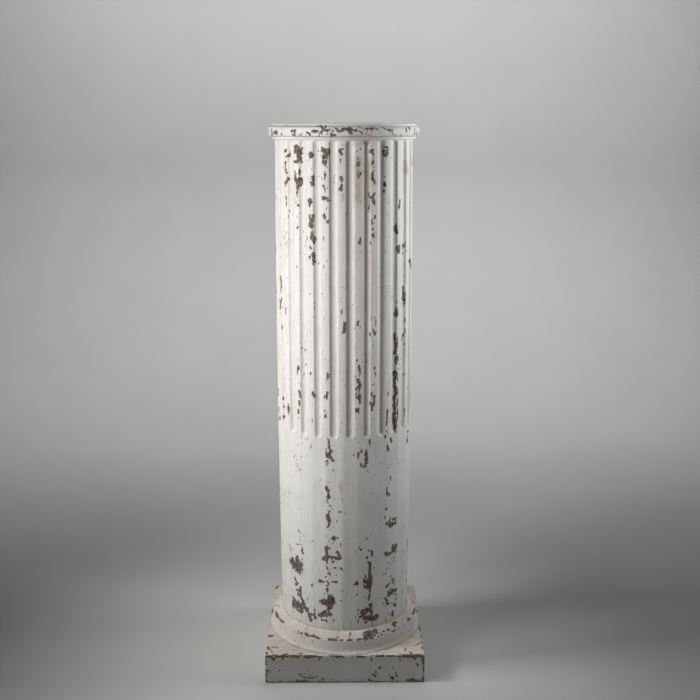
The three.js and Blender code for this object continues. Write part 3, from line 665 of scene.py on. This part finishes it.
class ColumnPaint(bpy.types.PropertyGroup):
    """Colours and wear of the paint."""

    paint: colour_property("Paint", "White paint where it is clean", (0.80, 0.788, 0.765))
    paint_shade: colour_property("Paint, duller", "White paint in its duller patches", (0.71, 0.692, 0.66))
    paint_light: colour_property("Paint, lighter", "Ridges of the brush marks", (0.84, 0.832, 0.815))
    dust: colour_property("Dust", "Settled dirt on upward faces", (0.60, 0.515, 0.43))
    grime: colour_property("Grime", "Soiled lines and the stained rim of chips", (0.52, 0.43, 0.31))
    # Painted shade: the grey laid on the plinth below its top edge and on the left of the cap's notch and
    # disc edge, for the shade these faces are in
    painted_shade: colour_property("Soil", "Grey soiling on handled faces", (0.19, 0.188, 0.188))
    ground: colour_property("Ground", "Dark ground under the paint", (0.085, 0.065, 0.055))
    ground_light: colour_property("Ground, lighter", "Lighter places of the ground", (0.25, 0.20, 0.165))
    shadow: colour_property("Chip rim", "Shaded rim just inside the edge of a chip", (0.03, 0.022, 0.018))
    raggedness: bpy.props.FloatProperty(
        name="Raggedness", description="How far noise pulls a chip's outline about", default=1.3, min=0.0
    )
    paint_thickness: length_property("Paint thickness", "Height of the paint above the ground", 0.0005)


class ColumnStage(bpy.types.PropertyGroup):
    """Camera, floor and lights."""

    backdrop: colour_property("Backdrop", "Floor and backdrop", (0.62, 0.62, 0.61))
    key_power: power_property("Key light", "Power of the soft light at the upper left", 3.15)
    low_power: power_property("Low light", "Power of the light on the foot from the left", 1.05)
    front_power: power_property("Front light", "Power of the faint light from the front", 0.15)
    side_power: power_property("Side light", "Power of the weaker light from the right", 3.15)
    top_power: power_property("Top light", "Power of the light on the cap's top", 0.5)
    wall_power: power_property("Wall light", "Power of the light on the backdrop", 22.0)
    room_light: bpy.props.FloatProperty(
        name="Room light", description="Strength of the even light all round", default=0.05, min=0.0
    )
    camera_distance: length_property("Camera distance", "From the column's axis to the camera", 1.937)
    camera_height: length_property("Camera height", "Height of the camera above the floor", 1.0443)
    camera_tilt: bpy.props.FloatProperty(
        name="Camera tilt", description="How far it looks down", default=math.radians(12.37), subtype="ANGLE"
    )
    focal_length: bpy.props.FloatProperty(
        name="Focal length", description="In millimetres on a sensor 36 mm wide", default=52.72, min=10.0
    )


def plinth_grid():
    """Rounded square carried along a profile from the middle of the underside to the middle of the top:
    every profile step scales the square to its half width and lifts it to its height. Each corner is drawn
    in to a quarter circle by scaling the offset past the circle's centre to the circle's radius."""
    half, top = PLINTH_HIGH.x, PLINTH_HIGH.z
    ease = PLINTH_EASE
    turn = np.radians(np.linspace(0, 90, 6))
    side = np.concatenate([
        [[0.02, 0.0]], run((0.08, 0.0), (half - ease, 0.0), 8),
        [[half - ease * (1 - s), ease * (1 - c)] for s, c in zip(np.sin(turn), np.cos(turn))],
        run((half, ease + 2 * MM), (half, top - ease), 32),
        [[half - ease * (1 - c), top - ease * (1 - s)] for s, c in zip(np.sin(turn), np.cos(turn))],
        run((half - ease - 2 * MM, top), (0.10, top), 22), [[0.06, top], [0.01, top]],
    ])
    # the last point of each edge is left to the next edge
    along = np.linspace(-1, 1, PLINTH_SIDE_POINTS)[:-1]
    edges = []
    for quarter in range(4):
        cos, sin = math.cos(math.radians(90 * quarter)), math.sin(math.radians(90 * quarter))
        edges.append(np.stack([along * cos + sin, along * sin - cos], -1))
    square = np.concatenate(edges)
    square = np.roll(square, -(len(square) // 8), axis=0)
    size = side[:, 0][:, None, None]
    flat = square[None] * size
    bend = np.minimum(PLINTH_CORNER_RADIUS, size[..., 0] * 0.3)
    inner = size[..., 0] - bend
    over = np.maximum(np.abs(flat) - inner[..., None], 0)
    reach = np.linalg.norm(over, axis=-1)
    longest = np.maximum(over[..., 0], over[..., 1])
    pull = np.where(reach > 0, longest / np.maximum(reach, 1e-9), 1.0)
    flat = np.sign(flat) * (np.minimum(np.abs(flat), inner[..., None]) + over * pull[..., None])
    return np.concatenate([flat, np.broadcast_to(side[:, 1][:, None, None], flat.shape[:2] + (1,))], -1)


class COLUMN_OT_plinth(bpy.types.Operator):
    """Builds the square plinth"""

    bl_idname = "column.plinth"
    bl_label = "Plinth"

    def execute(self, context):
        points = plinth_grid()
        half, top = PLINTH_HIGH.x / MM, PLINTH_HIGH.z / MM
        x, y, z = (points[..., i] / MM for i in range(3))

        def face(outward):
            return rate(half - 4, half - 1, outward)

        upper = rate(top - 2, top - 0.5, z)
        wear = np.zeros(x.shape)
        wear = np.maximum(wear, face(-y) * worn_at(PLINTH_FRONT_CHIPS, x, z, 1.0, 0.5))
        wear = np.maximum(wear, upper * worn_at(PLINTH_TOP_CHIPS, x, y, 1.0, 0.8))
        rng = np.random.default_rng(11)
        others = [(rng.uniform(-150, 150), rng.uniform(3, 56), rng.uniform(2, 5)) for _ in range(36)]
        wear = np.maximum(wear, face(y) * worn_at(others[:12], x, z))
        wear = np.maximum(wear, face(x) * worn_at(others[12:24], y, z))
        wear = np.maximum(wear, face(-x) * worn_at(others[24:], y, z))
        near_side = np.maximum(np.abs(x), np.abs(y))
        edge_top = np.exp(-(((near_side - half) ** 2 + (z - top) ** 2) / 2.2**2))
        corner = np.exp(-(((np.minimum(np.abs(x), np.abs(y)) - half) / 3.0) ** 2)) * (z > 1)
        foot = np.exp(-((z / 2.5) ** 2)) * (near_side > half - 3)
        for amount, place in ((0.36, edge_top), (0.40, corner), (0.38, foot)):
            wear = np.maximum(wear, amount * place)
        dust = 0.12 + 0.88 * upper + 0.12 * rate(20, 0, z)
        # Painted shade: every face below the top edge is greyed, as these faces get less light than the top
        painted_shade = 0.42 * rate(top - 1.0, top - 4.0, z)
        grime = 0.5 * upper * np.exp(-(((np.hypot(x, y) - 151) / 3.0) ** 2)) + 0.35 * edge_top
        fields = {"wear": wear, "dust": dust, "grime": grime, "painted_shade": painted_shade}
        mesh = closed_mesh("painted_plinth", points, fields)
        paint = aged_paint("plinth_paint", context.scene.column_paint, grain_axis="X", speckle=0.01)
        place_piece("painted_plinth", mesh, paint, "plinth")
        return {"FINISHED"}


class COLUMN_OT_base_ring(bpy.types.Operator):
    """Builds the round moulding on the plinth"""

    bl_idname = "column.base_ring"
    bl_label = "Base ring"

    def execute(self, context):
        foot, top = RING_LOW.z, RING_HIGH.z
        foot_radius = RING_HIGH.x
        cove = foot_radius - RING_SIDE_RADIUS
        arris = np.array([RING_SIDE_RADIUS, foot + RING_ARRIS_RISE])
        neck = np.array([SHAFT_FOOT_RADIUS + RING_TOP_LIP, top])
        slope = (neck - arris) / np.linalg.norm(neck - arris)
        outward = np.array([slope[1], -slope[0]])
        share = np.linspace(0, 1, 22)[:, None]
        bevel = arris + slope * 1.2 * MM + (neck - arris - slope * 1.2 * MM) * share
        bevel = bevel + outward * RING_BEVEL_SWELL * 4 * share * (1 - share)
        hollow = superellipse((foot_radius, foot + RING_FOOT_LIP + cove), -cove, cove, 2, -88, 0, 9)
        profile = np.concatenate([
            [[0.05, foot], [0.11, foot], [foot_radius - 0.3 * MM, foot], [foot_radius, foot + 0.3 * MM]],
            [[foot_radius, foot + RING_FOOT_LIP - 0.1 * MM]], hollow,
            run(hollow[-1] + (0, 1.4 * MM), arris - (0, 1.2 * MM), 9),
            [arris - (0, 1.2 * MM), arris - (0.12 * MM, 0.5 * MM)],
            [arris + slope * 0.5 * MM - outward * 0.1 * MM],
            bevel, [neck + (-0.6 * MM, 0), (0.11, top), (0.05, top)],
        ])
        angle = np.linspace(-180, 180, ROUND_POINTS, endpoint=False)[None]
        radius, height = profile[:, :1], profile[:, 1:]
        edge = np.exp(-(((height - arris[1]) / (2.4 * MM)) ** 2)) * (radius > 0.13)
        nick = np.clip(waves(21, angle, count=9) * 2 - 0.2, 0, 1)
        radius = radius - edge * (0.25 + 0.6 * nick) * MM
        points = ring_of(angle, radius, height)
        grid_angle = np.broadcast_to(angle, points.shape[:2])
        mm_height = height / MM
        per_degree = RING_SIDE_RADIUS / MM * math.pi / 180
        rng = np.random.default_rng(5)
        hidden = [
            (a, rng.uniform(80, 92), a + rng.uniform(0, 4), rng.uniform(80, 92), 3)
            for a in rng.uniform(84, 276, 22)
        ]
        wear = worn_at(RING_CHIPS, grid_angle, mm_height, per_degree, 0.6)
        wear = np.maximum(wear, worn_at(hidden, grid_angle % 360, mm_height, per_degree))
        wear = np.maximum(wear, edge * (0.30 + 0.16 * waves(8, angle)))
        sloping = rate(arris[1] - 1 * MM, arris[1] + 1 * MM, height)
        hollow_up = rate(foot + 8 * MM, foot + 4 * MM, height)
        # Painted highlight: a wavy band at the top of the bevel, along the shaft's foot, is kept clear of
        # the bevel's dust so that it reads lighter, as a shine on the bead there
        bead_highlight = rate(top - 2.6 * MM, top - 1.4 * MM, height) * rate(-0.3, 0.3, waves(17, angle))
        dust = 0.20 + 0.62 * sloping * (1 - bead_highlight) + 0.5 * hollow_up
        joint = np.exp(-(((height - foot) / (1.4 * MM)) ** 2))
        joint = joint + np.exp(-(((height - top) / (0.8 * MM)) ** 2))
        grime = 0.45 * joint
        mesh = closed_mesh("painted_ring", points, {"wear": wear, "dust": dust, "grime": grime})
        paint = aged_paint("ring_paint", context.scene.column_paint)
        place_piece("painted_ring", mesh, paint, "base_ring")
        return {"FINISHED"}


class COLUMN_OT_shaft(bpy.types.Operator):
    """Builds the shaft of staves with its flutes"""

    bl_idname = "column.shaft"
    bl_label = "Shaft"

    def execute(self, context):
        points, angle, heights, lip, hollow, arris = shaft_surface(0.25 * MM)
        mm_height = heights / MM
        per_degree = SHAFT_BELLY_RADIUS / MM * math.pi / 180
        around = (angle + 180) % 360 - 180
        wear = worn_at(SHAFT_CHIPS, around, mm_height, per_degree, 0.5)
        hidden = back_chips(3, 420, 100, 1010)
        wear = np.maximum(wear, worn_at(hidden, around, mm_height, per_degree))
        low_part = rate(360, 110, mm_height)
        wear = np.maximum(wear, 0.16 * arris + 0.10 * low_part * (0.6 + arris))
        wear = np.maximum(wear, 0.20 * lip)
        # Brown tint: a little more towards the foot, a band at the foot joint, in the flute hollows and at
        # the listed stains
        dust = 0.03 + 0.08 * rate(300, 100, mm_height) + 0.3 * np.exp(-(((mm_height - 96) / 5) ** 2))
        dust = dust + 0.26 * hollow + 1.5 * worn_at(SHAFT_STAINS, around, mm_height, per_degree)
        grime = 0.42 * lip + 0.5 * np.exp(-(((mm_height - 95) / 1.5) ** 2))
        fields = {"wear": wear, "dust": dust, "grime": grime}
        mesh = closed_mesh("painted_shaft", points, fields, sharp_degrees=70)
        paint = aged_paint("shaft_paint", context.scene.column_paint)
        place_piece("painted_shaft", mesh, paint, "shaft")
        return {"FINISHED"}


class COLUMN_OT_cap(bpy.types.Operator):
    """Builds the round cap"""

    bl_idname = "column.cap"
    bl_label = "Cap"

    def execute(self, context):
        foot, top = CAP_LOW.z, CAP_HIGH.z
        neck = SHAFT_NECK_RADIUS + CAP_NECK_LIP
        edge_foot = foot + CAP_NECK_HEIGHT
        half = CAP_EDGE_THICKNESS / 2
        centre = (CAP_HIGH.x - CAP_EDGE_DEPTH, edge_foot + half)
        disc_share = (CAP_DISC_RADIUS - centre[0]) / CAP_EDGE_DEPTH
        end = math.degrees(math.acos(disc_share ** (CAP_EDGE_FULLNESS / 2)))
        bullnose = superellipse(centre, CAP_EDGE_DEPTH, half, CAP_EDGE_FULLNESS, -89, end, 34)
        rim_height = edge_foot + CAP_EDGE_THICKNESS + CAP_DISC_EDGE
        rim_radius = CAP_DISC_RADIUS - 0.6 * MM
        share = np.linspace(1, 0, 18)[:, None]
        crown = np.concatenate([
            CAP_FLAT_RADIUS + (rim_radius - CAP_FLAT_RADIUS) * share, top - (top - rim_height) * share**1.6
        ], -1)
        notch = bullnose[-1] + (-0.5 * MM, 0.25 * MM)
        profile = np.concatenate([
            [[0.05, foot], [0.115, foot], [neck - 0.4 * MM, foot], [neck, foot + 0.4 * MM]],
            run((neck, foot + 1.4 * MM), (neck, edge_foot), 4), [[neck + 0.1 * MM, edge_foot - 0.1 * MM]],
            bullnose, [notch, (CAP_DISC_RADIUS - 0.3 * MM, notch[1] + 0.35 * MM)],
            run((CAP_DISC_RADIUS, notch[1] + 0.7 * MM), (CAP_DISC_RADIUS, rim_height - 0.6 * MM), 4),
            [[CAP_DISC_RADIUS, rim_height - 0.6 * MM], [CAP_DISC_RADIUS - 0.25 * MM, rim_height - 0.2 * MM]],
            crown, [[0.03, top], [0.008, top]],
        ])
        angle = np.linspace(-180, 180, ROUND_POINTS, endpoint=False)[None]
        radius, height = profile[:, :1], profile[:, 1:]
        radius = radius - 0.15 * MM * (1 + waves(31, angle)) * (radius > 0.13)
        points = ring_of(angle, radius, height)
        grid_angle = np.broadcast_to(angle, points.shape[:2])
        mm_height = height / MM
        per_degree = CAP_HIGH.x / MM * math.pi / 180
        rng = np.random.default_rng(9)
        hidden = [(a, rng.uniform(1027, 1042), rng.uniform(3, 8)) for a in rng.uniform(50, 295, 60)]
        outer = (radius > 0.131) * 1.0
        wear = outer * worn_at(CAP_CHIPS, grid_angle, mm_height, per_degree, 0.8)
        wear = np.maximum(wear, outer * worn_at(hidden, grid_angle % 360, mm_height, per_degree))
        line = np.exp(-(((height - notch[1]) / (0.7 * MM)) ** 2)) * outer
        wear = np.maximum(wear, line * (0.24 + 0.1 * waves(12, angle)))
        above = rate(rim_height - 0.8 * MM, rim_height - 0.2 * MM, height)
        wear = np.maximum(wear, 0.12 * above)
        top_x, top_y = points[..., 0] / MM, points[..., 1] / MM
        rings = [(rng.uniform(-110, 110), rng.uniform(-110, 110), rng.uniform(2, 6)) for _ in range(26)]
        wear = np.maximum(wear, above * worn_at(rings, top_x, top_y))
        dust = 0.03 + 0.30 * above + 1.5 * outer * worn_at(CAP_STAINS, grid_angle, mm_height, per_degree)
        shaded = np.exp(-(((height - notch[1] - 1 * MM) / (2.2 * MM)) ** 2)) * outer
        under = np.exp(-(((height - edge_foot) / (0.9 * MM)) ** 2)) * (radius > 0.12)
        grime = 0.1 * under + 0.2 * line
        # Painted shade: grey along the notch line and on the disc's edge above it, strongest on the left,
        # where these are in shade
        notch_painted_shade = 0.6 * line * rate(45, 10, np.abs(grid_angle + 25))
        disc_painted_shade = 0.6 * shaded * rate(62, 25, np.abs(grid_angle + 60))
        fields = {"wear": wear, "dust": dust, "grime": grime, "painted_shade": np.maximum(notch_painted_shade, disc_painted_shade)}
        mesh = closed_mesh("painted_cap", points, fields)
        paint = aged_paint("cap_paint", context.scene.column_paint)
        place_piece("painted_cap", mesh, paint, "cap")
        return {"FINISHED"}


def area_light(name, place, target, size, spread, power, colour):
    """Soft square light aimed at a point, its beam as many degrees wide as the spread."""
    lamp = bpy.data.lights.new(name, "AREA")
    lamp.shape = "RECTANGLE"
    lamp.size, lamp.size_y = size
    lamp.energy = power
    lamp.color = colour
    lamp.spread = math.radians(spread)
    holder = bpy.data.objects.new(name, lamp)
    holder.visible_camera = False
    aim = (Vector(target) - Vector(place)).to_track_quat("-Z", "Y")
    holder.matrix_world = Matrix.Translation(place) @ aim.to_matrix().to_4x4()
    bpy.context.scene.collection.objects.link(holder)
    return holder


def backdrop_mesh():
    """Floor that turns up into a wall behind: a profile of floor, quarter circle and wall, carried straight
    across."""
    bend = 0.9
    back = 2.2
    turn = np.radians(np.linspace(0, 90, 25))
    floor = np.stack([np.linspace(-4.0, back - bend, 12), np.zeros(12)], -1)
    curve = np.stack([back - bend + bend * np.sin(turn), bend * (1 - np.cos(turn))], -1)[1:]
    wall = np.stack([np.full(6, back), np.linspace(bend, 4.0, 7)[1:]], -1)
    profile = np.concatenate([floor, curve, wall])
    across = np.linspace(-4.5, 4.5, 10)
    x = np.broadcast_to(across[None], (len(profile), len(across)))
    y = np.broadcast_to(profile[:, :1], x.shape)
    z = np.broadcast_to(profile[:, 1:] - 0.2 * MM, x.shape)
    vertices = np.stack([x, y, z], -1).reshape(-1, 3)
    here = np.arange(x.size).reshape(x.shape)
    faces = np.stack([here[:-1, :-1], here[:-1, 1:], here[1:, 1:], here[1:, :-1]], -1).reshape(-1, 4)
    mesh = bpy.data.meshes.new("studio_sweep")
    mesh.from_pydata(vertices.tolist(), [], faces.tolist())
    mesh.shade_smooth()
    return mesh


class COLUMN_OT_stage(bpy.types.Operator):
    """Sets up the floor, the lights and the camera"""

    bl_idname = "column.stage"
    bl_label = "Stage"

    def execute(self, context):
        stage = context.scene.column_stage
        mesh = backdrop_mesh()
        mesh.materials.append(plain_surface("studio_paint", tuple(stage.backdrop), 0.8))
        sweep = bpy.data.objects.new("studio_sweep", mesh)
        context.scene.collection.objects.link(sweep)
        warm, cool, white = (1.0, 0.99, 0.98), (0.97, 0.985, 1.0), (1.0, 1.0, 1.0)
        lights = [
            area_light(name, place, target, size, spread, power, colour)
            for name, place, target, size, spread, power, colour in (
                ("key_light", (-1.11, -0.85, 1.06), (0, 0, 0.88), (0.5, 0.7), 72, stage.key_power, warm),
                ("low_light", (-1.2, -0.22, 1.25), (0, 0, 0.12), (0.4, 0.5), 50, stage.low_power, warm),
                ("front_light", (0.1, -1.35, 0.5), (0, 0, 0.8), (0.5, 0.5), 50, stage.front_power, white),
                ("side_light", (1.0, 0.05, 1.02), (0, 0, 0.85), (0.35, 0.6), 105, stage.side_power, cool),
                ("top_light", (0.05, 0.6, 1.9), (0, 0, 1.02), (0.4, 0.4), 50, stage.top_power, white),
                ("wall_light", (0, 0.9, 2.9), (0, 2.2, 0.9), (3.0, 0.6), 90, stage.wall_power, white),
            )
        ]
        world = bpy.data.worlds.new("studio_air")
        world.use_nodes = True
        air = world.node_tree.nodes["Background"]
        air.inputs["Color"].default_value = (1.0, 1.0, 1.0, 1.0)
        air.inputs["Strength"].default_value = stage.room_light
        context.scene.world = world
        eye = bpy.data.cameras.new("photo_camera")
        eye.lens = stage.focal_length
        eye.sensor_width = 36.0
        eye.clip_start = 0.05
        camera = bpy.data.objects.new("photo_camera", eye)
        aim = (
            Matrix.Rotation(CAMERA_TURN, 4, "Z")
            @ Matrix.Rotation(math.pi / 2 - stage.camera_tilt, 4, "X")
            @ Matrix.Rotation(CAMERA_ROLL, 4, "Z")
        )
        camera.matrix_world = Matrix.Translation((0, -stage.camera_distance, stage.camera_height)) @ aim
        context.scene.collection.objects.link(camera)
        context.scene.camera = camera
        context.scene.view_settings.view_transform = "Standard"
        return {"FINISHED"}


PIECE_OPERATORS = (COLUMN_OT_plinth, COLUMN_OT_base_ring, COLUMN_OT_shaft, COLUMN_OT_cap, COLUMN_OT_stage)


class COLUMN_PT_panel(bpy.types.Panel):
    """Lists the column's pieces and settings"""

    bl_label = "Pedestal Column"
    bl_idname = "COLUMN_PT_panel"
    bl_space_type = "VIEW_3D"
    bl_region_type = "UI"
    bl_category = "Column"

    def draw(self, context):
        for group in (context.scene.column_paint, context.scene.column_stage):
            box = self.layout.box()
            for key in group.__annotations__:
                box.prop(group, key)
        for operator in PIECE_OPERATORS:
            self.layout.operator(operator.bl_idname)


CLASSES = (ColumnPaint, ColumnStage, *PIECE_OPERATORS, COLUMN_PT_panel)


def register():
    for cls in CLASSES:
        bpy.utils.register_class(cls)
    bpy.types.Scene.column_paint = bpy.props.PointerProperty(type=ColumnPaint)
    bpy.types.Scene.column_stage = bpy.props.PointerProperty(type=ColumnStage)


def unregister():
    del bpy.types.Scene.column_stage
    del bpy.types.Scene.column_paint
    for cls in reversed(CLASSES):
        bpy.utils.unregister_class(cls)


def main():
    register()
    bpy.ops.column.plinth()
    bpy.ops.column.base_ring()
    bpy.ops.column.shaft()
    bpy.ops.column.cap()
    bpy.ops.column.stage()


if __name__ == "__main__":
    main()
